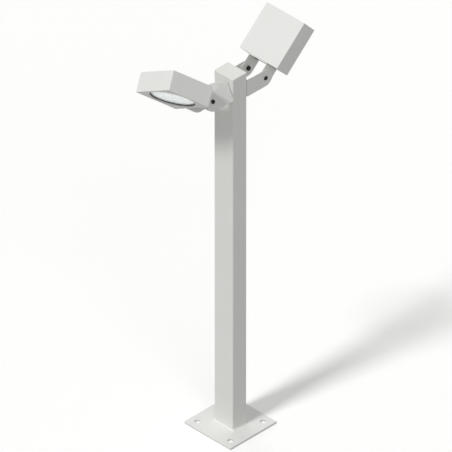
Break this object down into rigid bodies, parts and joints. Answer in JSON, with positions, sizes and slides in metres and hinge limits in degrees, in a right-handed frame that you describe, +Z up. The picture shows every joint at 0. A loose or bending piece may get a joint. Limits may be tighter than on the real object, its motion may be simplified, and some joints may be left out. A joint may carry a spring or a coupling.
{
  "type": "twin-head garden lamp post",
  "caption": "Slim rectangular garden lamp post on a bolted foot plate, with square spotlight heads that swivel and tilt on folded brackets at the top.",
  "frame": {"origin": "centre of the base plate's underside, on the ground, which is also the centre of the anchor bolt circle", "axes": "+Z up along the post; +Y and -Y out of the tube's wide sides, towards the right and left lamp heads; X along the tube's wide side"},
  "size_m": [0.1836, 0.4182, 1.0671],
  "materials": {
    "post_paint": "fine-texture white powder coat on steel",
    "cap_plastic": "moulded, matte",
    "bracket_paint": "fine-texture white powder coat on folded steel",
    "head_casting": "white powder coat on die-cast aluminium",
    "black_fastener": "black oxide steel",
    "pad_nylon": "moulded nylon",
    "gasket_rubber": "moulded silicone",
    "lens_glass": "polished toughened glass",
    "reflector_metal": "spun and anodised, bright",
    "board_metal": "white solder mask",
    "emitter_phosphor": "silicone with phosphor"
  },
  "bodies": {
    "post": {"base_plate": "post_paint", "post_tube": "post_paint", "base_weld": "post_paint", "post_cap": "cap_plastic", "left_swivel_pad": "pad_nylon", "left_swivel_bolt": "black_fastener", "left_swivel_nut": "black_fastener", "right_swivel_pad": "pad_nylon", "right_swivel_bolt": "black_fastener", "right_swivel_nut": "black_fastener"},
    "left_arm": {"left_bracket": "bracket_paint", "left_tilt_screw_near": "black_fastener", "left_tilt_screw_far": "black_fastener", "left_tilt_nut_near": "black_fastener", "left_tilt_nut_far": "black_fastener"},
    "left_lamp": {"left_fork": "bracket_paint", "left_housing": "head_casting", "left_front_frame": "head_casting", "left_lens_gasket": "gasket_rubber", "left_lens": "lens_glass", "left_reflector": "reflector_metal", "left_led_board": "board_metal", "left_led_emitter": "emitter_phosphor", "left_lead_grommet": "gasket_rubber"},
    "right_arm": {"right_bracket": "bracket_paint", "right_tilt_screw_near": "black_fastener", "right_tilt_screw_far": "black_fastener", "right_tilt_nut_near": "black_fastener", "right_tilt_nut_far": "black_fastener"},
    "right_lamp": {"right_fork": "bracket_paint", "right_housing": "head_casting", "right_front_frame": "head_casting", "right_lens_gasket": "gasket_rubber", "right_lens": "lens_glass", "right_reflector": "reflector_metal", "right_led_board": "board_metal", "right_led_emitter": "emitter_phosphor", "right_lead_grommet": "gasket_rubber"}
  },
  "joints": [
    {"name": "left_swivel", "type": "hinge", "parent": "post", "child": "left_arm", "pos_m": [0, -0.0225, 0.935], "axis": [0, -1, 0], "range_deg": [-118.5, 61.5]},
    {"name": "left_tilt", "type": "hinge", "parent": "left_arm", "child": "left_lamp", "pos_m": [0, -0.0825, 0.935], "axis": [-0.8788, 0, -0.4772], "range_deg": [-132.5, 47.5]},
    {"name": "right_swivel", "type": "hinge", "parent": "post", "child": "right_arm", "pos_m": [0, 0.0225, 0.935], "axis": [0, 1, 0], "range_deg": [-90, 90]},
    {"name": "right_tilt", "type": "hinge", "parent": "right_arm", "child": "right_lamp", "pos_m": [0, 0.0825, 0.935], "axis": [1, 0, 0], "range_deg": [-132.8, 47.2]}
  ]
}
